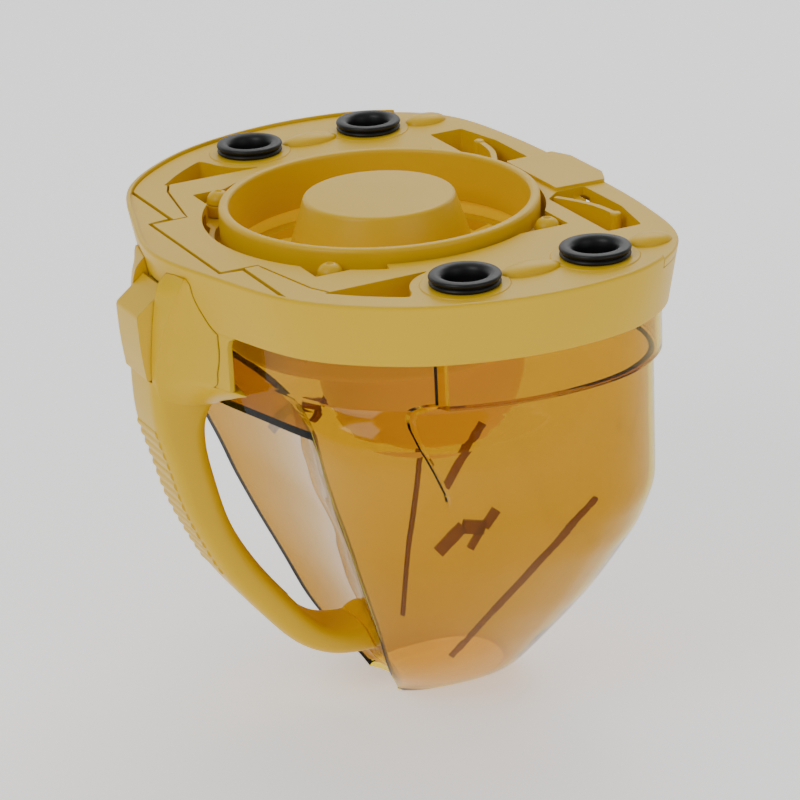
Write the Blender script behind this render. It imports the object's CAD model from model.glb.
# Water filter tank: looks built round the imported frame. Units are metres; +Z up, handle at -Y, hinge at +Y.
import bpy
import bmesh
import math
from mathutils import Matrix, Vector


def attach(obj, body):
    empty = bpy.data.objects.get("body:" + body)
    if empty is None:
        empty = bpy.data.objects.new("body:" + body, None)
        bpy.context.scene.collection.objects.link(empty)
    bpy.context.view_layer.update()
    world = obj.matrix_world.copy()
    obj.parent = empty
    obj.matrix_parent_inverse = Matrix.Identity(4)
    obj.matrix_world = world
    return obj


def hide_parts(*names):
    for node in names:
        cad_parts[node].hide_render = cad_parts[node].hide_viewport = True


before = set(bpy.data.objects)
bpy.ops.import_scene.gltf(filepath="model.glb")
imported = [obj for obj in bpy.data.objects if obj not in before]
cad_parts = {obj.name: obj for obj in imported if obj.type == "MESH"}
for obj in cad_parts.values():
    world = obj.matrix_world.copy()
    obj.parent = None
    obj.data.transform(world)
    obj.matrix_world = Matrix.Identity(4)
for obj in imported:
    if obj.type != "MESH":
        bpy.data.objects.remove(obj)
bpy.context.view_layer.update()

mm = 0.001


# materials
def newMaterial(name):
    material = bpy.data.materials.new(name)
    material.use_nodes = True
    nodes = material.node_tree.nodes
    return material, nodes, material.node_tree.links, nodes["Principled BSDF"]


def setInputs(node, values):
    for name, value in values.items():
        node.inputs[name].default_value = value


grainLook = {"Scale": 900, "Detail": 3}
grainDepth = {"Strength": 0.12, "Distance": 0.2 * mm}
cloudLook = {"Scale": 14, "Detail": 4}
wear = {"smoother": 0.04, "rougher": 0.06}


def grainBump(nodes, links, shader, edge):
    # fine mould texture over softly rounded edges
    place = nodes.new("ShaderNodeTexCoord")
    noise = nodes.new("ShaderNodeTexNoise")
    setInputs(noise, grainLook)
    bump = nodes.new("ShaderNodeBump")
    setInputs(bump, grainDepth)
    links.new(place.outputs["Object"], noise.inputs["Vector"])
    links.new(noise.outputs["Fac"], bump.inputs["Height"])
    bevel = nodes.new("ShaderNodeBevel")
    bevel.samples = 4
    bevel.inputs["Radius"].default_value = edge
    links.new(bevel.outputs["Normal"], bump.inputs["Normal"])
    links.new(bump.outputs["Normal"], shader.inputs["Normal"])
    return place


def plastic(name, colour, darker, roughness, edge, specular):
    # moulded plastic with slow changes of colour and polish
    material, nodes, links, shader = newMaterial(name)
    shader.inputs["Specular IOR Level"].default_value = specular
    place = grainBump(nodes, links, shader, edge)
    cloud = nodes.new("ShaderNodeTexNoise")
    setInputs(cloud, cloudLook)
    shades = nodes.new("ShaderNodeMix")
    shades.data_type = "RGBA"
    shades.inputs["A"].default_value = (*colour, 1)
    shades.inputs["B"].default_value = (*darker, 1)
    links.new(place.outputs["Object"], cloud.inputs["Vector"])
    links.new(cloud.outputs["Fac"], shades.inputs["Factor"])
    links.new(shades.outputs["Result"], shader.inputs["Base Color"])
    polish = nodes.new("ShaderNodeMapRange")
    polish.inputs["To Min"].default_value = roughness - wear["smoother"]
    polish.inputs["To Max"].default_value = roughness + wear["rougher"]
    links.new(cloud.outputs["Fac"], polish.inputs["Value"])
    links.new(polish.outputs["Result"], shader.inputs["Roughness"])
    return material


def plainMaterial(name, values):
    material, shader = newMaterial(name)[0::3]
    setInputs(shader, values)
    return material


amberLook = {"Base Color": (0.69, 0.475, 0.003, 1), "Transmission Weight": 1.0, "Roughness": 0.025, "IOR": 1.26}
amberWaves = {"Scale": 16, "Detail": 1}
amberWaveDepth = {"Strength": 0.05, "Distance": 2 * mm}
amberShadow = (0.90, 0.72, 0.20, 1)  # tint of the light that falls through


def makeAmber():
    material, nodes, links, shader = newMaterial("amberClearPlastic")
    setInputs(shader, amberLook)
    place = nodes.new("ShaderNodeTexCoord")
    waves = nodes.new("ShaderNodeTexNoise")
    setInputs(waves, amberWaves)
    bump = nodes.new("ShaderNodeBump")
    setInputs(bump, amberWaveDepth)
    links.new(place.outputs["Object"], waves.inputs["Vector"])
    links.new(waves.outputs["Fac"], bump.inputs["Height"])
    links.new(bump.outputs["Normal"], shader.inputs["Normal"])
    # light of the lamps passes through to what is inside
    path = nodes.new("ShaderNodeLightPath")
    clear = nodes.new("ShaderNodeBsdfTransparent")
    clear.inputs["Color"].default_value = amberShadow
    mix = nodes.new("ShaderNodeMixShader")
    links.new(path.outputs["Is Shadow Ray"], mix.inputs[0])
    links.new(shader.outputs["BSDF"], mix.inputs[1])
    links.new(clear.outputs["BSDF"], mix.inputs[2])
    links.new(mix.outputs["Shader"], nodes["Material Output"].inputs["Surface"])
    return material


# colour, darker shade, roughness, softened edge, specular level
yellow = plastic("yellowPlastic", (0.72, 0.452, 0.002), (0.69, 0.425, 0.001), 0.36, 0.6 * mm, 0.32)
innerYellow = plastic("innerYellowPlastic", (0.82, 0.56, 0.0), (0.78, 0.52, 0.0), 0.34, 0.4 * mm, 0.5)
glowYellow = plastic("glowingYellowPlastic", (0.85, 0.58, 0.0), (0.80, 0.54, 0.0), 0.4, 0.4 * mm, 0.5)
# see-through light makes the pieces in the tank glow a little
setInputs(glowYellow.node_tree.nodes["Principled BSDF"],
          {"Emission Color": (0.85, 0.55, 0.0, 1), "Emission Strength": 0.25})
rubber = plastic("blackRubber", (0.004, 0.004, 0.005), (0.006, 0.006, 0.007), 0.42, 0.3 * mm, 0.35)
steel = plainMaterial("brightSteel", {"Base Color": (0.62, 0.62, 0.6, 1), "Metallic": 1, "Roughness": 0.27})
amber = makeAmber()
smoked = plainMaterial("darkAmberPlastic", {"Base Color": (0.40, 0.19, 0.025, 1), "Transmission Weight": 0.55,
                                            "Roughness": 0.25, "IOR": 1.3})
print("materials")


# mesh helpers
def objectFrom(bm, name):
    bmesh.ops.remove_doubles(bm, verts=bm.verts, dist=1e-7)
    bmesh.ops.recalc_face_normals(bm, faces=bm.faces)
    mesh = bpy.data.meshes.new(name)
    bm.to_mesh(mesh)
    bm.free()
    made = bpy.data.objects.new(name, mesh)
    bpy.context.scene.collection.objects.link(made)
    return made


def finish(piece, material, body, replaced=(), smooth=32.0):
    piece.data.materials.clear()
    piece.data.materials.append(material)
    piece.data.shade_smooth()
    piece.data.set_sharp_from_angle(angle=math.radians(smooth))
    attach(piece, body)
    if replaced:
        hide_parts(*replaced)
    return piece


def pulled(name, corners, travel):
    # a flat outline pulled into a solid
    bm = bmesh.new()
    face = bm.faces.new([bm.verts.new(corner) for corner in corners])
    moved = bmesh.ops.extrude_face_region(bm, geom=[face])["geom"]
    bmesh.ops.translate(bm, verts=[v for v in moved if isinstance(v, bmesh.types.BMVert)], vec=travel)
    return objectFrom(bm, name)


def prism(name, points, low, high):
    return pulled(name, [(x, y, low) for x, y in points], (0, 0, high - low))


def sidePrism(name, points, low, high):
    # profile given as (y, z), from X = low to X = high
    return pulled(name, [(low, y, z) for y, z in points], (high - low, 0, 0))


def block(name, low, high):
    corners = [(low[0], low[1]), (high[0], low[1]), (high[0], high[1]), (low[0], high[1])]
    return prism(name, corners, low[2], high[2])


def circlePoints(center, radius, count=64):
    return [(center[0] + radius * math.cos(2 * math.pi * k / count),
             center[1] + radius * math.sin(2 * math.pi * k / count)) for k in range(count)]


def cylinder(name, center, radius, low, high, count=64):
    return prism(name, circlePoints(center, radius, count), low, high)


def crossRod(name, center, radius, low, high, count=40):
    return sidePrism(name, circlePoints(center, radius, count), low, high)


def rounded(points, radii, steps=5, loop=True):
    # a path with its corners rounded by short arcs
    result = []
    count = len(points)
    for i, point in enumerate(points):
        here = Vector(point)
        radius = radii[i] if isinstance(radii, (list, tuple)) else radii
        if radius <= 0 or (not loop and i in (0, count - 1)):
            result.append(tuple(here))
            continue
        before = Vector(points[i - 1]) - here
        after = Vector(points[(i + 1) % count]) - here
        room = min(radius, before.length * 0.49, after.length * 0.49)
        start = here + before.normalized() * room
        end = here + after.normalized() * room
        for k in range(steps + 1):
            t = k / steps
            result.append(tuple(start * (1 - t) ** 2 + here * 2 * t * (1 - t) + end * t ** 2))
    return result


def turned(name, profile, center=(0.0, 0.0), count=128):
    # turned about a vertical axis from a closed (radius, height) profile
    bm = bmesh.new()
    rings = []
    for i in range(count):
        angle = 2 * math.pi * i / count
        rings.append([bm.verts.new((center[0] + r * math.cos(angle), center[1] + r * math.sin(angle), z))
                      for r, z in profile])
    total = len(profile)
    for i in range(count):
        here, there = rings[i], rings[(i + 1) % count]
        for j in range(total):
            k = (j + 1) % total
            if profile[j][0] < 1e-9 and profile[k][0] < 1e-9:
                continue
            corners = [here[j], there[j], there[k], here[k]]
            if profile[j][0] < 1e-9:
                corners = [here[j], there[k], here[k]]
            if profile[k][0] < 1e-9:
                corners = [here[j], there[j], here[k]]
            bm.faces.new(corners)
    return objectFrom(bm, name)


def addLoft(bm, rings):
    # a solid through rings of equal count, with flat ends
    levels = [[bm.verts.new(p) for p in ring] for ring in rings]
    count = len(levels[0])
    for low, high in zip(levels, levels[1:]):
        for i in range(count):
            j = (i + 1) % count
            bm.faces.new([low[i], low[j], high[j], high[i]])
    bm.faces.new(list(reversed(levels[0])))
    bm.faces.new(levels[-1])


def lofted(name, rings):
    bm = bmesh.new()
    addLoft(bm, rings)
    return objectFrom(bm, name)


def combine(piece, others, operation):
    for other in others:
        modifier = piece.modifiers.new("join", "BOOLEAN")
        modifier.operation = operation
        modifier.solver = "EXACT"
        modifier.object = other
        graph = bpy.context.evaluated_depsgraph_get()
        graph.update()
        result = bpy.data.meshes.new_from_object(piece.evaluated_get(graph))
        piece.modifiers.clear()
        old = piece.data
        piece.data = result
        bpy.data.meshes.remove(old)
        bpy.data.objects.remove(other)
    return piece


def add(piece, *others):
    return combine(piece, others, "UNION")


def cut(piece, *others):
    return combine(piece, others, "DIFFERENCE")


def keep(piece, *others):
    return combine(piece, others, "INTERSECT")


# plan outline
plan = {"halfWidth": 135.6 * mm, "nose": 98.5 * mm, "handle": 106.6 * mm,
        "shape": [(0.0, -1.0), (0.32, -0.91), (0.64, -0.755), (0.86, -0.46), (0.97, -0.13),
                  (1.0, 0.25), (0.94, 0.61), (0.755, 0.885), (0.43, 0.98), (0.0, 1.0)]}
level = {"deck": 222.4 * mm, "collarTop": 223.7 * mm, "collarBottom": 196.6 * mm, "apronBottom": 172.0 * mm,
         "tankTop": 202.7 * mm, "bandBottom": 176.0 * mm, "lidBottom": 206.0 * mm, "deckBottom": 219.4 * mm,
         "capBottom": 218.4 * mm, "pocket": 210.4 * mm}
hinge = {"y": 97.2 * mm, "z": 214.2 * mm, "bore": 1.8 * mm}
buttonAxis = (-109.6 * mm, 193 * mm)
slope = math.tan(math.radians(10))  # draft of the collar


def curvePoint(points, index, share):
    count = len(points)
    p0, p1, p2, p3 = (Vector(points[(index + k) % count]) for k in (-1, 0, 1, 2))
    return 0.5 * (2 * p1 + (p2 - p0) * share + (2 * p0 - 5 * p1 + 4 * p2 - p3) * share ** 2
                  + (3 * p1 - p0 - 3 * p2 + p3) * share ** 3)


def smoothPath(points, steps=12):
    # open smooth curve through points of any dimension
    path = []
    count = len(points)
    full = [Vector(p) for p in points]
    for i in range(count - 1):
        p0 = full[i - 1] if i > 0 else full[0] * 2 - full[1]
        p3 = full[i + 2] if i + 2 < count else full[-1] * 2 - full[-2]
        for k in range(steps):
            path.append(curvePoint([full[i], full[i + 1], p3, p0], 0, k / steps))
    path.append(full[-1])
    return path


def spread(path, count):
    lengths = [0.0]
    for start, end in zip(path, path[1:]):
        lengths.append(lengths[-1] + (end - start).length)
    result = []
    k = 0
    for i in range(count):
        want = lengths[-1] * i / (count - 1)
        while k < len(path) - 2 and lengths[k + 1] < want:
            k += 1
        step = max(lengths[k + 1] - lengths[k], 1e-12)
        result.append(path[k].lerp(path[k + 1], min(1.0, (want - lengths[k]) / step)))
    return result


def halfOutline():
    right = [(x * plan["halfWidth"], y * (plan["handle"] if y < 0 else plan["nose"]))
             for x, y in plan["shape"]]
    loop = right + [(-x, y) for x, y in reversed(right[1:-1])]
    path = []
    for i in range(len(right) - 1):
        path += [curvePoint(loop, i, k / 24) for k in range(24)]
    path.append(Vector(right[-1]))
    return path


outlinePath = halfOutline()


def insetPath(path, inset):
    moved = []
    for i, point in enumerate(path):
        before = path[i - 1] if i > 0 else Vector((-path[1].x, path[1].y))
        after = path[i + 1] if i < len(path) - 1 else Vector((-path[-2].x, path[-2].y))
        along = (after - before).normalized()
        moved.append(point + Vector((-along.y, along.x)) * inset)
    moved[0].x = 0.0
    moved[-1].x = 0.0
    return moved


def closedLoop(half):
    return [tuple(p) for p in half] + [(-p[0], p[1]) for p in reversed(half[1:-1])]


def outline(inset=0.0, count=180):
    return closedLoop(spread(insetPath(outlinePath, inset), count // 2 + 1))


def clipped(points, back):
    result = []
    for i, point in enumerate(points):
        other = points[(i + 1) % len(points)]
        if point[1] >= back:
            result.append(point)
        if (point[1] < back) != (other[1] < back):
            share = (back - point[1]) / (other[1] - point[1])
            result.append((point[0] + (other[0] - point[0]) * share, back))
    return result


def draftedRings(levels, extra=0.0):
    rings = []
    for z, inwards in levels:
        inset = (level["collarTop"] - z) * slope + inwards - extra
        rings.append([(x, y, z) for x, y in outline(inset)])
    return rings


# tank
tankLook = {"inset": 7.58 * mm, "band": 3.7 * mm, "side": 3.4 * mm, "wall": 2.5 * mm,
            "baseHalf": 24.5 * mm, "baseNose": 53 * mm, "baseBack": -12.5 * mm, "power": 2.4,
            "finTop": (-74.6 * mm, 172.5 * mm), "finFoot": (14.0 * mm, -9.5 * mm),
            "finPath": [(159.0, 81.0, -73.1), (140.0, 75.5, -67.4), (120.0, 70.0, -60.5),
                        (103.0, 66.0, -54.1), (90.0, 63.5, -50.1),
                        (70.0, 57.4, -42.6), (50.0, 49.5, -34.6), (30.0, 41.0, -27.4),
                        (16.0, 31.0, -20.0), (6.0, 20.0, -12.5)],
            "ledge": 159.0 * mm,
            "profile": [(116.0, 0.0), (97.0, 0.09), (78.5, 0.23), (60.0, 0.375), (41.0, 0.55),
                        (22.0, 0.735), (8.0, 0.88), (0.0, 1.0)],
            "edge": [(176.0, -31.0), (175.9, -33.0), (175.0, -38.0), (173.0, -41.5), (169.0, -43.0),
                     (160.0, -41.5), (148.0, -36.5), (135.0, -31.0), (100.0, -26.0), (0.0, -8.0)]}


def readTable(table, z):
    # value at a height in rows of (height, value) that run downwards
    if z >= table[0][0]:
        return table[0][1]
    for (z1, v1), (z2, v2) in zip(table, table[1:]):
        if z >= z2:
            return v1 + (v2 - v1) * (z1 - z) / (z1 - z2)
    return table[-1][1]


def smoothShare(z):
    return sum(readTable(tankLook["profile"], z + d) for d in (-4, -2, 0, 2, 4)) / 5


def finCorner(z, start, inset):
    # edge of the right fin at a height, smoothed over a few millimetres
    rows = [(tankLook["finTop"][1], start.x, start.y)]
    rows += [(h * mm, x * mm - 0.6 * inset, y * mm + 0.8 * inset) for h, x, y in tankLook["finPath"]]
    rows.append((0.0, tankLook["finFoot"][0] - 0.6 * inset, tankLook["finFoot"][1] + 0.8 * inset))
    if z >= rows[0][0]:
        return start.copy()
    total = Vector((0.0, 0.0))
    for d in (-5, -2.5, 0, 2.5, 5):
        at = min(max(z + d * mm * min(1.0, z / (8 * mm)), 0.0), rows[0][0])
        for (z1, x1, y1), (z2, x2, y2) in zip(rows, rows[1:]):
            if at >= z2:
                share = (z1 - at) / (z1 - z2)
                total += Vector((x1 + (x2 - x1) * share, y1 + (y2 - y1) * share))
                break
    return total / 5


def basePoint(angle, inset):
    center = (tankLook["baseNose"] + tankLook["baseBack"]) / 2
    wide = tankLook["baseHalf"] - inset
    long = (tankLook["baseNose"] - tankLook["baseBack"]) / 2 - inset
    power = 2 / tankLook["power"]
    across = math.copysign(abs(math.sin(angle)) ** power, math.sin(angle))
    along = math.copysign(abs(math.cos(angle)) ** power, math.cos(angle))
    return Vector((wide * across, center - long * along))


def splitAt(path, y, least=9 * mm):
    for i, (here, there) in enumerate(zip(path, path[1:])):
        if here.x > least and here.y <= y < there.y:
            point = here.lerp(there, (y - here.y) / (there.y - here.y))
            return path[:i + 1] + [point], [point] + path[i + 1:]


counts = {"side": 26, "front": 70, "back": 22}


def tankRing(z, inset, scooped):
    # plan of the tank at a height: back between the fins, side panel, raised front panel
    height = z / mm
    step = tankLook["side"] * min(1.0, max(0.0, (height - 122) / 26))
    frontInset = tankLook["inset"] + inset + (0.0 if z > level["bandBottom"] else tankLook["band"])
    sideInset = tankLook["inset"] + tankLook["band"] + inset + step
    sidePath = insetPath(outlinePath, sideInset)
    frontPath = insetPath(outlinePath, frontInset)
    fin = tankLook["finTop"]
    foot = tankLook["finFoot"]
    behind, ahead = splitAt(sidePath, fin[0] + 0.8 * inset)
    edge = readTable(tankLook["edge"], height) * mm
    side = spread(splitAt(ahead, edge, 0)[0], counts["side"])
    side += spread(splitAt(frontPath, edge + 0.7 * mm, 40 * mm)[1], counts["front"])
    center = (tankLook["baseNose"] + tankLook["baseBack"]) / 2
    half = (tankLook["baseNose"] - tankLook["baseBack"]) / 2
    start = math.atan2(foot[0] / tankLook["baseHalf"], (center - foot[1]) / half)
    # the base has a rounded edge of 5 mm
    rise = max(0.0, 5.0 - height) if inset < 1e-6 else max(0.0, 8.0 - height) * 0.6
    baseInset = inset + 5 * mm - math.sqrt(max(0.0, 25 - rise ** 2)) * mm
    low = spread([basePoint(start + (math.pi - start) * k / 120, baseInset) for k in range(121)], len(side))
    low[-1].x = 0.0
    pull = min(1.0, max(0.0, (fin[1] - z) / fin[1]))
    draw = smoothShare(height)
    lengths = [0.0]
    for a, b in zip(side, side[1:]):
        lengths.append(lengths[-1] + (b - a).length)
    corner = finCorner(z, side[0], inset)
    offset = corner - side[0].lerp(low[0], pull)
    points = []
    for i, point in enumerate(side):
        along = lengths[i] / lengths[-1]
        blend = min(1.0, 2.2 * along * along * (3 - 2 * along))
        points.append(point.lerp(low[i], pull + (draw - pull) * blend) + offset * (1 - blend))
    if scooped:
        depth = (12 - 7 * pull) * mm
        back = []
        for i in range(counts["back"]):
            across = i / (counts["back"] - 1)
            back.append(Vector((corner.x * across, corner.y + 0.4 * inset + depth * (1 - across ** 2))))
        back[-1] = corner
    else:
        ratio = corner.x / behind[-1].x
        lift = corner.y - behind[-1].y
        back = [Vector((p.x * ratio, p.y + lift)) for p in spread(behind, counts["back"])]
    return closedLoop(back + points[1:])


def tankLevels(inset, floor, top):
    roof = tankLook["ledge"] + inset
    heights = [0.0, 0.3, 0.9, 1.8, 3.0, 4.6, 7.0] + [7.0 + 3.8 * k for k in range(1, 60)]
    levels = [(floor, True)]
    for h in heights:
        z = h * mm
        if floor + 0.2 * mm < z < roof - 1 * mm:
            levels.append((z, True))
    levels += [(roof - 0.05 * mm, True), (roof, False)]
    for h in heights + [166.5, 171.0, 173.5, 174.6, 175.4, 175.9, 176.05, 190.0]:
        z = h * mm
        if roof + 1 * mm < z < top - 1 * mm and abs(h - 176) > 0.02:
            levels.append((z, False))
    levels.append((top, False))
    return sorted(levels)


def makeTank():
    wall = tankLook["wall"]
    top = level["tankTop"]
    outer = [[(x, y, z) for x, y in tankRing(z, 0.0, s)] for z, s in tankLevels(0.0, 0.0, top)]
    inner = [[(x, y, z) for x, y in tankRing(z, wall, s)] for z, s in tankLevels(wall, 3 * mm, top)]
    tank = lofted("tankShell", outer + list(reversed(inner)))
    return finish(tank, amber, "root", ["tank"], 24)


makeTank()


def bar(name, start, end, wide, thick, facing):
    # rib between two points, thin along the direction it faces
    a, b = Vector(start) * mm, Vector(end) * mm
    along = (b - a).normalized()
    side = along.cross(Vector(facing)).normalized() * wide * mm / 2
    deep = side.cross(along).normalized() * thick * mm / 2
    ends = [[p + side + deep, p - side + deep, p - side - deep, p + side - deep] for p in (a, b)]
    return lofted(name, [[tuple(p) for p in ring] for ring in ends])


def makeRibs():
    # ribs and clips moulded on the inside of the tank, the same on both sides
    rows = [((81, 57, 104), (61, 44, 74), 3.0, 1.0), ((61, 44, 74), (41, 26, 42), 3.0, 1.0),
            ((41, 26, 42), (24, 13, 16), 2.6, 1.0), ((88, 0, 154), (87, -18, 129), 3.4, 1.2),
            ((80, -19, 97), (80, -7, 106), 5.0, 2.0), ((80, -7, 106), (80, 3, 103), 6.0, 2.4),
            ((80, 3, 103), (80, 9, 110), 4.0, 2.0), ((80, -4, 95), (80, 2, 103), 3.0, 2.0)]
    for side, word in ((1, "Right"), (-1, "Left")):
        for number, (start, end, wide, thick) in enumerate(rows, 1):
            a = (side * start[0], start[1], start[2])
            b = (side * end[0], end[1], end[2])
            rib = bar("tankRib%s%d" % (word, number), a, b, wide, thick, (side, -0.3, 0.1))
            finish(rib, smoked, "root")


makeRibs()
print("tank")


# collar
collarLook = {"wall": 2.2 * mm, "apronHalf": 42 * mm, "slit": 1.1 * mm, "guide": 207.5 * mm}


def landOpening():
    # where the lid's back edge and tongue sit, wider at the ends of the long slit
    g = collarLook["slit"]
    back = -81.4 * mm - g / 2
    tongue = -91.3 * mm - g / 2
    half = 37.6 * mm
    right = [(half, tongue), (half + 1.2 * mm, back), (80 * mm, back), (86 * mm, back - 2.4 * mm),
             (146 * mm, back - 2.4 * mm), (146 * mm, 200 * mm)]
    return right + [(-x, y) for x, y in reversed(right)]


def makeCollar():
    top = level["collarTop"]
    bottom = level["collarBottom"]
    wall = collarLook["wall"]
    outer = draftedRings([(bottom, 0.5 * mm), (bottom + 0.4 * mm, 0.0), (top - 1.6 * mm, 0.0),
                          (top - 0.9 * mm, 0.12 * mm), (top - 0.3 * mm, 0.5 * mm), (top, 1.1 * mm)])
    collar = lofted("collarRing", outer)
    inside = lofted("inside", draftedRings([(bottom - 4 * mm, wall), (top + 4 * mm, wall)]))
    cut(collar, inside)
    flat = level["deck"]
    land = lofted("land", draftedRings([(top - 3 * mm, 1.1 * mm), (flat, 1.1 * mm)]))
    cut(land, prism("opening", landOpening(), top - 5 * mm, top + mm))
    inset = (top - bottom) * slope
    apron = prism("apron", outline(inset + 0.12 * mm), level["apronBottom"], bottom + mm)
    cut(apron, prism("hollow", outline(inset + wall), level["apronBottom"] - mm, bottom + 2 * mm))
    half = collarLook["apronHalf"]
    window = [(-half - 7 * mm, bottom + 2 * mm), (-half - 3.6 * mm, bottom - 0.4 * mm),
              (-half - 1.0 * mm, bottom - 2.0 * mm), (-half, bottom - 5 * mm), (-half, 150 * mm),
              (half, 150 * mm), (half, bottom - 5 * mm), (half + 1.0 * mm, bottom - 2.0 * mm),
              (half + 3.6 * mm, bottom - 0.4 * mm), (half + 7 * mm, bottom + 2 * mm)]
    keep(apron, pulled("window", [(x, -120 * mm, z) for x, z in window], (0, 60 * mm, 0)))
    add(collar, land, apron)
    cap = block("cap", (-140 * mm, 67.7 * mm, level["capBottom"] - 0.3 * mm), (140 * mm, 110 * mm, top + mm))
    y, z = hinge["y"], hinge["z"]
    notch = block("notch", (-21.3 * mm, y - 9 * mm, z - 4.6 * mm), (21.3 * mm, y + 9 * mm, top))
    lugs = [block("lug", (side * 24.3 * mm - 3 * mm, y - 5.5 * mm, z - 4 * mm),
                  (side * 24.3 * mm + 3 * mm, y - 0.5 * mm, level["capBottom"] - 0.3 * mm)) for side in (-1, 1)]
    add(collar, *lugs)
    low = collarLook["guide"]
    guide = block("guide", (-11 * mm, -102.4 * mm, low - 2.9 * mm), (11 * mm, -97.2 * mm, low + 4.1 * mm))
    add(collar, guide)
    slot = block("slot", (-8.3 * mm, -108.6 * mm, low - 0.3 * mm), (8.3 * mm, -90.3 * mm, low + 3.3 * mm))
    socket = crossRod("socket", (y, z), hinge["bore"], -25.5 * mm, 25.5 * mm, 24)
    cut(collar, cap, notch, slot, socket)
    collar.name = "collarRing"
    return finish(collar, yellow, "root", ["collar"], 28)


makeCollar()
print("collar")


# handle
handleLook = {"outer": [(-103.0, 219.5), (-107.5, 216.0), (-110.5, 211.0), (-113.2, 196.0),
                        (-114.8, 180.0), (-115.2, 163.0),
                        (-114.0, 148.0), (-109.5, 131.0), (-103.8, 110.0), (-96.4, 92.0),
                        (-87.5, 74.5), (-75.0, 57.0), (-58.0, 36.5), (-43.0, 26.2), (-27.0, 22.3), (-8.0, 21.6)],
              "inner": [(-88.0, 221.0), (-84.5, 200.0), (-83.0, 182.0), (-82.0, 170.0), (-85.0, 160.0),
                        (-90.3, 151.0), (-91.6, 140.0), (-89.5, 125.0), (-83.0, 99.5), (-72.0, 77.5),
                        (-57.0, 56.5), (-43.0, 40.5), (-27.0, 34.5), (-8.0, 36.0)],
              "half": 14.6 * mm, "outerRound": 6.2 * mm, "innerRound": 7.5 * mm, "slotHalf": 11.7 * mm,
              "slotBottom": 171.0 * mm}


def scaled(points):
    return [Vector((y * mm, z * mm)) for y, z in points]


def sectionLoop(thick):
    # rounded section: (x, depth) with depth 0 at the outside of the handle
    half = handleLook["half"]
    outside, inside = handleLook["outerRound"], handleLook["innerRound"]
    corners = [(-half, 0.0), (half, 0.0), (half, thick), (-half, thick)]
    return rounded(corners, [outside, outside, inside, inside], 7)


def makeHandle():
    outer = spread(smoothPath(scaled(handleLook["outer"]), 10), 150)
    inner = spread(smoothPath(scaled(handleLook["inner"]), 10), 150)
    rings = []
    for o, i in zip(outer, inner):
        across = i - o
        thick = across.length
        away = across.normalized()
        ring = []
        for x, depth in sectionLoop(thick):
            place = o + away * depth
            ring.append((x, place.x, place.y))
        rings.append(ring)
    handle = lofted("handleBody", rings)
    add(handle, makeFlange())
    half = handleLook["slotHalf"]
    cut(handle, block("slot", (-half, -140 * mm, handleLook["slotBottom"]), (half, -60 * mm, 235 * mm)))
    cut(handle, lofted("collarFill", draftedRings([(196.3 * mm, 0.0), (226 * mm, 0.0)], 0.15 * mm)))
    inset = 27.1 * mm * slope
    cut(handle, prism("apronFill", outline(inset - 0.05 * mm), 171.7 * mm, 197 * mm))
    fill = lofted("tankFill", [[(x, y, z) for x, y in tankRing(z, -0.3 * mm, s)]
                               for z, s in tankLevels(-0.3 * mm, -1 * mm, level["tankTop"])])
    cut(handle, fill)
    cut(handle, crossRod("pinHole", buttonAxis, 1.8 * mm, -13.9 * mm, 13.9 * mm, 24))
    cut(handle, cylinder("footHole", (0, -36 * mm), 3.2 * mm, 10 * mm, 27.2 * mm, 32))
    handle.name = "handleBody"
    return finish(handle, yellow, "root", ["handle"], 30)


# rows of the flange: height, outside y, crease (x, y), foot on the collar (x, y)
flangeRows = [(218.6, -104.0, (25.5, -102.8), (26.5, -100.0)),
              (216.5, -106.0, (25.2, -103.6), (28.5, -99.8)),
              (211.0, -110.2, (22.8, -105.3), (32.5, -97.0)),
              (203.0, -112.2, (20.3, -107.8), (37.0, -94.5)),
              (196.0, -113.3, (18.2, -109.7), (41.0, -92.5)),
              (187.0, -114.2, (16.4, -112.2), (46.0, -90.5)),
              (179.0, -114.9, (15.2, -113.6), (50.0, -88.5)),
              (172.5, -115.1, (14.7, -113.9), (50.0, -88.0)),
              (168.0, -115.1, (14.4, -113.2), (40.0, -88.0)),
              (162.0, -115.0, (14.0, -112.0), (26.0, -87.0)),
              (157.0, -114.7, (13.0, -110.5), (15.0, -87.0))]


def makeFlange():
    rows = smoothPath([(z, out, k[0], k[1], f[0], f[1]) for z, out, k, f in flangeRows], 5)
    rings = []
    for row in rows:
        z, out, kx, ky, fx, fy = (v * mm for v in row)
        crease = Vector((kx, ky))
        right = [Vector((0.0, out)), Vector((kx * 0.45, out)), Vector((kx * 0.8, out + (ky - out) * 0.45)), crease]
        control = Vector((kx + (fx - kx) * 0.18, ky + (fy - ky) * 0.62))
        for k in range(1, 11):
            t = k / 10
            right.append(crease * (1 - t) ** 2 + control * 2 * t * (1 - t) + Vector((fx, fy)) * t ** 2)
        right.append(Vector((fx * 0.6, fy + 2 * mm)))
        right.append(Vector((0.0, fy + 2 * mm)))
        loop = right + [Vector((-p.x, p.y)) for p in reversed(right[1:-1])]
        rings.append([(p.x, p.y, z) for p in loop])
    return lofted("flange", list(reversed(rings)))


makeHandle()


gripLook = {"low": 74 * mm, "high": 149 * mm, "ribs": 15, "rise": 0.7 * mm, "half": 10 * mm}
linerLook = {"low": 56 * mm, "high": 141 * mm, "half": 6.5 * mm}


def sideways(path):
    # unit vectors square to an open path, on its left
    ends = len(path) - 1
    steps = [(path[min(i + 1, ends)] - path[max(i - 1, 0)]).normalized() for i in range(len(path))]
    return [Vector((-step.y, step.x)) for step in steps]


def handlePath(line, look):
    return [p for p in smoothPath(scaled(handleLook[line]), 10) if look["low"] <= p.y <= look["high"]]


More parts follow.
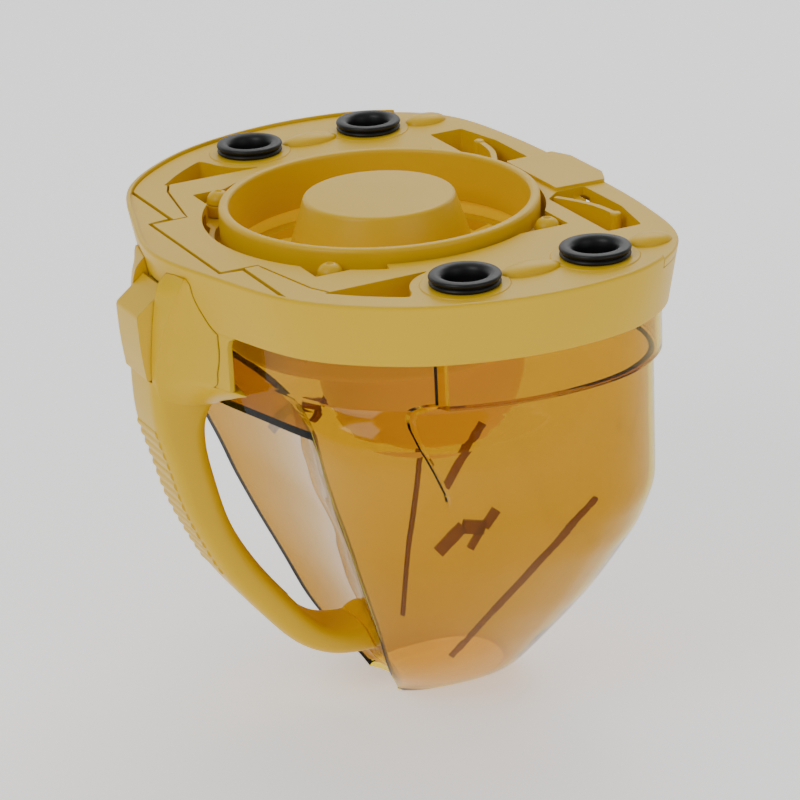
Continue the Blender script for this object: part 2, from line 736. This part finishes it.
def makeGrip():
    # ribbed strip on the outside of the handle
    path = spread(handlePath("outer", gripLook), 200)
    outerSide = []
    innerSide = []
    for i, (point, inwards) in enumerate(zip(path, sideways(path))):
        wave = (i / 199 * gripLook["ribs"]) % 1.0
        rise = gripLook["rise"] * max(0.0, math.sin(math.pi * min(1.0, wave * 1.35))) ** 0.6
        outerSide.append(point - inwards * (rise - 0.1 * mm))
        innerSide.append(point + inwards * 2.6 * mm)
    loop = [tuple(p) for p in outerSide + innerSide[::-1]]
    strip = sidePrism("gripRibs", loop, -gripLook["half"], gripLook["half"])
    return finish(strip, yellow, "root", ["grip_strip"], 40)


def makeLiner():
    path = [p for p in handlePath("inner", linerLook) if p.x < -50 * mm]
    outwards = sideways(path)
    loop = [tuple(p + out * 0.35 * mm) for p, out in zip(path, outwards)]
    loop += [tuple(p - out * 2.2 * mm) for p, out in zip(path[::-1], outwards[::-1])]
    strip = sidePrism("gripLiner", loop, -linerLook["half"], linerLook["half"])
    return finish(strip, yellow, "root", ["handle_liner"], 40)


makeGrip()
makeLiner()
print("handle")


# release button: corners in y and z, the rounding of each, half its width
buttonLook = {"profile": [(-105.6, 211.2), (-119.0, 201.0), (-118.4, 186.0), (-116.6, 171.8), (-107.2, 172.5),
                          (-105.5, 198.0)],
              "rounds": [0.6 * mm, 1.6 * mm, 6 * mm, 1.2 * mm, 1 * mm, 1 * mm], "half": 11.4 * mm}


def makeButton():
    loop = rounded(scaled(buttonLook["profile"]), buttonLook["rounds"], 5)
    button = sidePrism("releaseButton", loop, -buttonLook["half"], buttonLook["half"])
    pocket = cylinder("pocket", (0, 0), 3.5 * mm, 0, 20 * mm, 32)
    turn = Matrix.Rotation(math.pi / 2, 4, "X")
    pocket.data.transform(Matrix.Translation((0, -94.5 * mm, 180.5 * mm)) @ turn)
    cut(button, pocket, crossRod("bore", buttonAxis, 1.8 * mm, -20 * mm, 20 * mm, 32))
    button.name = "releaseButton"
    return finish(button, yellow, "button", ["release_button"], 30)


makeButton()


# lid deck
bushSpots = [(x * mm, y * mm) for x, y in ((104, -13.8), (104, 46.2), (-104, -13.8), (-104, 46.2))]
screwSpots = [(x * mm, y * mm) for x, y in ((55.9, 50.7), (-55.9, 50.7), (-55.9, -50.7), (55.9, -50.7))]
lidLook = {"back": -80.2 * mm, "inset": 2.9 * mm, "skirt": 7.2 * mm, "cup": 2.5 * mm, "opening": 71.2 * mm,
           "well": 73.7 * mm, "land": 1.4 * mm, "groove": 1.0 * mm, "grooveDepth": 2.4 * mm, "above": 9 * mm}


def mirrored(points, side):
    return points if side > 0 else [(-x, y) for x, y in reversed(points)]


def frontPocket(side, grow=0.0):
    boss = Vector(bushSpots[0])
    arc = []
    for k in range(9):
        angle = math.radians(196 + 8 * k)
        arc.append(boss + Vector((math.cos(angle), math.sin(angle))) * (22.4 * mm - grow))
    outer = spread(insetPath(outlinePath, 15.5 * mm - grow), 200)
    rim = [tuple(p) for p in outer if p.x > 84 * mm - grow and p.y < -37 * mm + grow]
    points = [(81.7 * mm - grow, -20 * mm + grow), (81.7 * mm - grow, -66 * mm - grow)] + rim[::2]
    points += [tuple(p) for p in reversed(arc)]
    return mirrored(rounded(points, 1.6 * mm, 2), side)


def rearPocket(side, grow=0.0):
    points = [(23.8 * mm - grow, 73.4 * mm - grow), (30 * mm, 66 * mm - grow),
              (80.4 * mm + grow, 66 * mm - grow), (80.4 * mm + grow, 82.0 * mm + grow * 0.5),
              (56 * mm, 87 * mm + grow), (23.8 * mm - grow, 87 * mm + grow)]
    return mirrored(rounded(points, 1.2 * mm, 3), side)


def reliefBlock(spot, grow, low, high):
    x = math.copysign(1, spot[0])
    y = math.copysign(1, spot[1])
    farX = abs(spot[0]) + 6.7 * mm + grow
    farY = abs(spot[1]) + (9.4 if y < 0 else 6.4) * mm + grow
    lowX, highX = sorted((x * 34 * mm, x * farX))
    lowY, highY = sorted((y * 30 * mm, y * farY))
    return block("relief", (lowX, lowY, low), (highX, highY, high))


def ridge(spot, length, wide=6.6, high=3.5):
    bm = bmesh.new()
    bmesh.ops.create_uvsphere(bm, u_segments=40, v_segments=20, radius=1.0)
    bmesh.ops.scale(bm, verts=bm.verts, vec=(wide * mm, length / 2, high * mm))
    bmesh.ops.translate(bm, verts=bm.verts, vec=(spot[0], spot[1], level["deck"]))
    return objectFrom(bm, "ridge")


def groove(path, width, depth):
    # narrow parting line cut along an open plan path
    path = [Vector(point) for point in path]
    square = sideways(path)
    left = [tuple(p + n * (width / 2)) for p, n in zip(path, square)]
    right = [tuple(p - n * (width / 2)) for p, n in zip(path, square)]
    return prism("groove", left + right[::-1], level["deck"] - depth, level["deck"] + 4 * mm)


def lidRoom():
    # what the lid may fill inside the collar
    return prism("room", outline(6 * mm), 200 * mm, 230 * mm)


def arcPoints(radius, start, sweep, lift=0.0):
    angles = [math.radians(start + sweep * k / 40) for k in range(41)]
    return [(radius * math.cos(a), radius * math.sin(a) + lift) for a in angles]


def makeLid():
    deck = level["deck"]
    bottom = level["lidBottom"]
    under = level["deckBottom"]
    over = deck + lidLook["above"]
    back = lidLook["back"]
    grow = lidLook["cup"]
    lid = prism("lidDeck", clipped(outline(lidLook["inset"]), back), under, deck)
    lidBlock = prism("block", clipped(outline(lidLook["skirt"]), back), bottom, under + mm)
    cut(lidBlock, prism("hollow", clipped(outline(lidLook["skirt"] + grow), back + grow), bottom - mm, under))
    cap = lofted("cap", draftedRings([(level["capBottom"], 0.0), (deck - 0.7 * mm, 0.0),
                                      (deck - 0.2 * mm, 0.3 * mm), (deck, 0.7 * mm)]))
    cut(cap, block("back", (-200 * mm, -200 * mm, 0), (200 * mm, 68 * mm, 300 * mm)))
    tongue = block("tongue", (-37 * mm, -90.3 * mm, under), (37 * mm, -74 * mm, deck))
    catch = block("catch", (-10 * mm, -89.8 * mm, 204.5 * mm), (10 * mm, -87.3 * mm, under + mm))
    add(lid, lidBlock, cap, tongue, catch)
    for side in (1, -1):
        for points in (frontPocket(side, grow), rearPocket(side, grow)):
            cup = prism("cup", points, level["pocket"] - grow, under + mm)
            keep(cup, lidRoom())
            add(lid, cup)
    pad = [(0, deck - mm), (19.2 * mm, deck - mm), (18.2 * mm, deck + 0.5 * mm), (0, deck + 0.5 * mm)]
    for spot in bushSpots:
        boss = cylinder("boss", spot, 19 * mm, bottom + mm, under + mm)
        keep(boss, lidRoom())
        add(lid, boss)
        add(lid, turned("pad", pad, spot, 96))
    add(lid, cylinder("well", (0, 0), lidLook["well"], bottom, under + mm, 128))
    for spot in screwSpots:
        add(lid, reliefBlock(spot, grow, bottom, under + mm))
    y, z = hinge["y"], hinge["z"]
    land = rounded([(-22.5 * mm, 74 * mm), (22.5 * mm, 74 * mm), (23.6 * mm, 97.6 * mm), (13.8 * mm, 101.9 * mm),
                    (-13.8 * mm, 101.9 * mm), (-23.6 * mm, 97.6 * mm)], 1.0 * mm, 3)
    add(lid, prism("land", land, level["capBottom"], deck + lidLook["land"]))
    for side in (1, -1):
        cut(lid, prism("pocket", frontPocket(side), level["pocket"], over))
        cut(lid, prism("pocket", rearPocket(side), level["pocket"], over))
        add(lid, ridge((side * 104 * mm, 16.2 * mm), 27 * mm))
        add(lid, ridge((side * 100.5 * mm, 74 * mm), 20 * mm))
    for spot in bushSpots:
        cut(lid, cylinder("cavity", spot, 16.5 * mm, level["pocket"], under))
        cut(lid, cylinder("neck", spot, 12.3 * mm, level["pocket"] + mm, over))
    for spot in screwSpots:
        cut(lid, reliefBlock(spot, 0.0, deck - 8.9 * mm, over))
    cut(lid, cylinder("opening", (0, 0), lidLook["opening"], bottom - mm, over, 160))
    # wider dark gap round the tube on the handle's side
    crescent = arcPoints(78 * mm, 205, 130, 2 * mm) + arcPoints(66 * mm, 335, -130)
    cut(lid, prism("crescent", crescent, deck - 8 * mm, over))
    # parting lines of the hinged inner part
    for side in (1, -1):
        line = [(side * 36.2 * mm, -92 * mm), (side * 36.6 * mm, -74 * mm), (side * 41 * mm, -73.4 * mm),
                (side * 73 * mm, -67.5 * mm), (side * 81.5 * mm, -63.5 * mm)]
        cut(lid, groove(line, lidLook["groove"], lidLook["grooveDepth"]))
    knuckle = crossRod("knuckle", (y, z), 3.6 * mm, -20.7 * mm, 20.7 * mm)
    neck = block("neck", (-20.7 * mm, y - 3.6 * mm, z), (20.7 * mm, y + 1.2 * mm, level["capBottom"] + mm))
    cut(lid, block("clear", (-28.5 * mm, y - 13 * mm, bottom - mm), (28.5 * mm, y + mm, level["capBottom"])))
    wall = block("wall", (-29.5 * mm, y - 15.5 * mm, bottom), (29.5 * mm, y - 12.5 * mm, level["capBottom"]))
    add(lid, wall, neck, knuckle)
    cut(lid, crossRod("bore", (y, z), hinge["bore"], -22 * mm, 22 * mm, 24))
    lid.name = "lidDeck"
    return finish(lid, yellow, "lid", ["lid_deck"], 28)


makeLid()
print("lid")


# outlet, bell, grille, plug
tubeLook = {"inner": 64.5 * mm, "outer": 68.9 * mm, "low": 206 * mm, "high": 228 * mm, "earRadius": 6 * mm,
            "earLow": 213.8 * mm, "earHigh": 218.8 * mm, "hole": 2.2 * mm}


def tubeWall(inner, outer, low, high, rounds, steps):
    return rounded([(inner, low), (outer, low), (outer, high), (inner, high)], rounds, steps)


def makeTube():
    low, high = tubeLook["earLow"], tubeLook["earHigh"]
    profile = tubeWall(tubeLook["inner"], tubeLook["outer"], tubeLook["low"], tubeLook["high"],
                       [0.3 * mm, 0.3 * mm, 2.4 * mm, 1.8 * mm], 7)
    tube = turned("outletTube", profile, count=192)
    for spot in screwSpots:
        inward = Vector(spot).normalized()
        across = Vector((-inward.y, inward.x)) * (5.6 * mm)
        near = inward * (66.7 * mm)
        far = Vector(spot)
        web = [tuple(corner) for corner in (near - across, far - across, far + across, near + across)]
        add(tube, cylinder("ear", spot, tubeLook["earRadius"], low, high, 48))
        add(tube, prism("web", web, low, high))
        cut(tube, cylinder("hole", spot, tubeLook["hole"], 212 * mm, 220 * mm, 24))
    tube.name = "outletTube"
    return finish(tube, yellow, "lid", ["outlet_tube"], 30)


def makeBell():
    profile = rounded([(0.0, 229.2 * mm), (32.5 * mm, 229.2 * mm), (40.6 * mm, 203 * mm),
                       (40.6 * mm, 200.3 * mm), (38.1 * mm, 200.3 * mm),
                       (38.1 * mm, 202.5 * mm), (30.0 * mm, 226.7 * mm), (0.0, 226.7 * mm)],
                      [0, 1.7 * mm, 1.5 * mm, 0.4 * mm, 0.4 * mm, 0.4 * mm, 1 * mm, 0], 6)
    return finish(turned("outletBell", profile, count=192), yellow, "lid", ["bell"], 30)


vaneLook = {"count": 9, "steps": 10, "inner": 36.8 * mm, "outer": 66.6 * mm, "low": 192.5 * mm, "high": 199.6 * mm,
            "thick": 1.6 * mm, "ringLow": 191 * mm, "ringHigh": 199.7 * mm}


def makeVanes():
    # closed wedge for each vane, joined with the outer ring and the hub
    low, high, inner, outer = (vaneLook[key] for key in ("low", "high", "inner", "outer"))
    bm = bmesh.new()
    for v in range(vaneLook["count"]):
        rings = []
        for k in range(vaneLook["steps"] + 1):
            share = k / vaneLook["steps"]
            angle = 2 * math.pi * (v + share * 0.95) / vaneLook["count"] + 0.3
            z = low + (high - low) * share
            lean = angle + 0.06 + 0.10 * share
            a = (inner * math.cos(angle), inner * math.sin(angle))
            b = (outer * math.cos(lean), outer * math.sin(lean))
            rings.append([(*a, z - vaneLook["thick"]), (*b, z - vaneLook["thick"]), (*b, z), (*a, z)])
        addLoft(bm, rings)
    finish(objectFrom(bm, "swirlVanes"), glowYellow, "lid", ["swirl_grille"], 30)
    for name, near, far in (("grilleRing", 61.5 * mm, 67.3 * mm), ("grilleHub", 35.0 * mm, 42.0 * mm)):
        profile = tubeWall(near, far, vaneLook["ringLow"], vaneLook["ringHigh"], 0.6 * mm, 3)
        finish(turned(name, profile, count=160), innerYellow, "lid")


plugLook = {"radius": 70 * mm, "top": 205.7 * mm, "low": 169.0 * mm, "wall": 2.5 * mm, "seat": 191 * mm}


def makePlug():
    r, top, low, w, seat = (plugLook[key] for key in ("radius", "top", "low", "wall", "seat"))
    profile = [(r + 2.6 * mm, top), (r, top - 3 * mm), (r, low + 2.5 * mm), (r - 2.5 * mm, low), (47.5 * mm, low),
               (47.5 * mm, low + w), (r - w, low + w), (r - w, seat - 2 * mm), (r - w - 2.5 * mm, seat - 1.5 * mm),
               (r - w - 2.5 * mm, seat - 0.3 * mm), (r - w, seat - 0.3 * mm), (r - w, top)]
    rounds = [0.5, 0.8, 1.5, 1.5, 0.5, 0.4, 1, 0.2, 0.2, 0.2, 0.2, 0.3]
    plug = turned("separatorPlug", rounded(profile, [value * mm for value in rounds], 3), count=160)
    floor = prism("floor", circlePoints((0, 0), 60 * mm, 128), low, low + w)
    add(plug, floor)
    cut(plug, cylinder("hole", (0, 16 * mm), 43.8 * mm, low - mm, low + w + mm, 96))
    for angle in (-58, 62, 182):
        a = math.radians(angle)
        tab = block("tab", (-6 * mm, -1.2 * mm, 178 * mm), (6 * mm, 1.6 * mm, 184 * mm))
        tab.data.transform(Matrix.Translation((70.4 * mm * math.cos(a), 70.4 * mm * math.sin(a), 0))
                           @ Matrix.Rotation(a - math.pi / 2, 4, "Z"))
        add(plug, tab)
    plug.name = "separatorPlug"
    return finish(plug, glowYellow, "lid", ["separator_housing"], 30)


bowlLook = {"radius": 46 * mm, "wall": 2.2 * mm, "bottom": 106 * mm, "top": 168.7 * mm, "center": (0, 16 * mm)}


def makeBowl():
    r, w, bottom, top = (bowlLook[key] for key in ("radius", "wall", "bottom", "top"))
    center = bottom + r
    angles = [math.pi * k / 60 for k in range(1, 30)]
    outer = [(r, top), (r, center)] + [(r * math.cos(a), center - r * math.sin(a)) for a in angles]
    inner = [((r - w) * math.cos(a), center - (r - w) * math.sin(a)) for a in reversed(angles)]
    profile = outer + [(0.0, bottom), (0.0, bottom + w)] + inner + [(r - w, center), (r - w, top)]
    bowl = turned("innerBowl", profile, bowlLook["center"], 144)
    return finish(bowl, glowYellow, "lid", ["inner_bowl"], 30)


makeTube()
makeBell()
makeVanes()
makePlug()
makeBowl()
print("outlet")


# rubber parts, screws, fingers: radius and height of each corner
bushLook = {"profile": [(8.5, 212.0), (14.0, 212.0), (14.0, 219.0), (12.0, 219.0), (12.0, 222.95), (14.2, 223.0),
                        (14.9, 223.9), (14.2, 224.75), (13.6, 225.0), (14.2, 225.25), (15.0, 226.2), (14.5, 227.3),
                        (12.2, 227.7), (10.4, 227.2), (9.2, 225.9), (8.6, 223.5)],
            "rounds": [0.3 * mm, 0.3 * mm, 0.2 * mm, 0.2 * mm, 0.1 * mm] + [0.9 * mm] * 11}


def makeBushes():
    shape = rounded(scaled(bushLook["profile"]), bushLook["rounds"], 4)
    for number, spot in enumerate(bushSpots, 1):
        bush = turned("rubberBush%d" % number, shape, spot, 96)
        finish(bush, rubber, "lid", ["bush_%d" % number], 30)


screwLook = {"foot": 219.1 * mm, "tip": 207.2 * mm, "shank": 1.9 * mm, "head": 5.2 * mm, "rim": 1.4 * mm,
             "dome": 4.2 * mm}


def makeScrews():
    foot, tip, shank, head, rim, dome = screwLook.values()
    profile = [(0.0, tip), (shank, tip), (shank, foot), (head, foot), (head, foot + rim)]
    profile += [(head * math.cos(a), foot + rim + dome * math.sin(a))
                for a in (math.radians(8 * k) for k in range(1, 9))]
    profile += [(1.7 * mm, foot + 5.25 * mm), (1.1 * mm, foot + 4.5 * mm), (0.0, foot + 4.2 * mm)]
    for number, spot in enumerate(screwSpots, 1):
        screw = turned("domeScrew%d" % number, profile, spot, 64)
        finish(screw, yellow, "lid", ["tube_screw_%d" % number], 40)


fingerLook = {"path": [(27.5, 70.5), (34, 74.2), (44, 78.6), (54, 80.6), (61, 80.9)], "half": 1.35 * mm,
              "low": 212.4 * mm, "high": 221.8 * mm, "ball": (61 * mm, 81 * mm), "ballRadius": 2.4 * mm,
              "ballTop": 222.4 * mm}


def makeFingers():
    path = spread(smoothPath(scaled(fingerLook["path"]), 10), 40)
    square = sideways(path)
    half, low, x = fingerLook["half"], fingerLook["low"], fingerLook["ball"][0]
    edges = [p - n * half for p, n in zip(path, square)]
    edges += [p + n * half for p, n in zip(path[::-1], square[::-1])]
    ballWall = tubeWall(0, fingerLook["ballRadius"], low, fingerLook["ballTop"], [0, 0.3 * mm, 1.2 * mm, 0], 5)
    for side, word in ((1, "right"), (-1, "left")):
        finger = prism("springFinger", [(side * p.x, p.y) for p in edges], low, fingerLook["high"])
        add(finger, turned("ball", ballWall, (side * x, fingerLook["ball"][1]), 48))
        finger.name = "springFinger" + word.capitalize()
        if side > 0:
            finish(finger, yellow, "tongue_right", ["spring_tongue_right"], 35)
        else:
            finish(finger, yellow, "tongue_left", ["spring_tongue_left"], 35)


def makeGasket():
    low, high = 203.0 * mm, 205.7 * mm
    ring = prism("lidSeal", clipped(outline(7.5 * mm), -79.8 * mm), low, high)
    cut(ring, prism("inside", clipped(outline(9.6 * mm), -77.8 * mm), low - mm, high + mm))
    ring.name = "lidSeal"
    return finish(ring, rubber, "lid", ["lid_gasket"], 30)


makeBushes()
makeScrews()
makeFingers()
makeGasket()
for node in ("hinge_pin", "button_pin", "button_spring", "bolt_spring", "latch_bolt", "foot_screw"):
    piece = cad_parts[node]
    piece.data.materials.clear()
    piece.data.materials.append(steel)
print("small pieces")


# stage, light and camera
paperLook = {"Base Color": (0.92, 0.92, 0.92, 1), "Roughness": 0.9, "Emission Color": (1, 1, 1, 1),
             "Emission Strength": 0.5}
floorLook = {"size": 6.0, "flat": 1.6, "sweep": 1.2, "height": 5.0, "turn": 64.3}


def makeFloor():
    bm = bmesh.new()
    size, flat, sweep = floorLook["size"], floorLook["flat"], floorLook["sweep"]
    path = [(-size, 0.0), (flat, 0.0)]
    path += [(flat + sweep * math.sin(a), sweep - sweep * math.cos(a))
             for a in (math.radians(6 * k) for k in range(1, 16))]
    path.append((flat + sweep, floorLook["height"]))
    low = [bm.verts.new((-size, y, z)) for y, z in path]
    high = [bm.verts.new((size, y, z)) for y, z in path]
    for i in range(len(path) - 1):
        bm.faces.new([low[i], high[i], high[i + 1], low[i + 1]])
    floor = objectFrom(bm, "paleFloor")
    # the backdrop rises behind the object as the camera sees it
    floor.data.transform(Matrix.Rotation(math.radians(floorLook["turn"]), 4, "Z"))
    floor.data.materials.append(plainMaterial("palePaper", paperLook))
    floor.data.shade_smooth()


# place, target, size and power of each light
lightLook = {"keyLight": ((0.5, -1.3, 1.3), (0, 0, 0.15), (0.8, 0.8), 10),
             "fillLight": ((1.7, 0.5, 0.7), (0, 0, 0.12), (1.2, 1.4), 5),
             "backLight": ((-1.0, 1.0, 1.5), (0, 0, 0.2), (1.2, 0.9), 9),
             "topLight": ((-0.3, 0.1, 2.2), (0, 0, 0.2), (1.2, 1.2), 5)}


def makeLights():
    for name, (place, target, size, power) in lightLook.items():
        lamp = bpy.data.lights.new(name, "AREA")
        lamp.shape = "RECTANGLE"
        lamp.size, lamp.size_y = size
        lamp.energy = power
        made = bpy.data.objects.new(name, lamp)
        made.location = place
        made.rotation_euler = (Vector(target) - Vector(place)).to_track_quat("-Z", "Y").to_euler()
        bpy.context.scene.collection.objects.link(made)
    world = bpy.data.worlds.new("studio")
    world.use_nodes = True
    setInputs(world.node_tree.nodes["Background"], {"Color": (1, 1, 1, 1), "Strength": 0.36})
    bpy.context.scene.world = world


# angles in degrees, distance and height of the point looked at, then how far the view is turned off it
cameraLook = {"azimuth": 64.34, "elevation": 18.47, "roll": -2.81, "distance": 3201.9 * 0.43 * mm,
              "height": 228 * mm, "aside": 0.00653, "down": 0.0635, "lens": 144.7}


def makeCamera():
    a, e, roll = (math.radians(cameraLook[key]) for key in ("azimuth", "elevation", "roll"))
    back = Vector((math.sin(a) * math.cos(e), -math.cos(a) * math.cos(e), math.sin(e)))
    right = (-back).cross(Vector((0, 0, 1))).normalized()
    up = right.cross(-back)
    across = right * math.cos(roll) + up * math.sin(roll)
    upward = up * math.cos(roll) - right * math.sin(roll)
    forward = (-back + across * cameraLook["aside"] - upward * cameraLook["down"]).normalized()
    across = (across - forward * across.dot(forward)).normalized()
    upward = across.cross(forward)
    turn = Matrix((across, upward, -forward)).transposed()
    data = bpy.data.cameras.new("studioView")
    data.sensor_width = 36
    data.lens = cameraLook["lens"]
    camera = bpy.data.objects.new("studioView", data)
    place = back * cameraLook["distance"] + Vector((0, 0, cameraLook["height"]))
    camera.matrix_world = Matrix.Translation(place) @ turn.to_4x4()
    bpy.context.scene.collection.objects.link(camera)
    bpy.context.scene.camera = camera


makeFloor()
makeLights()
makeCamera()
print("stage")
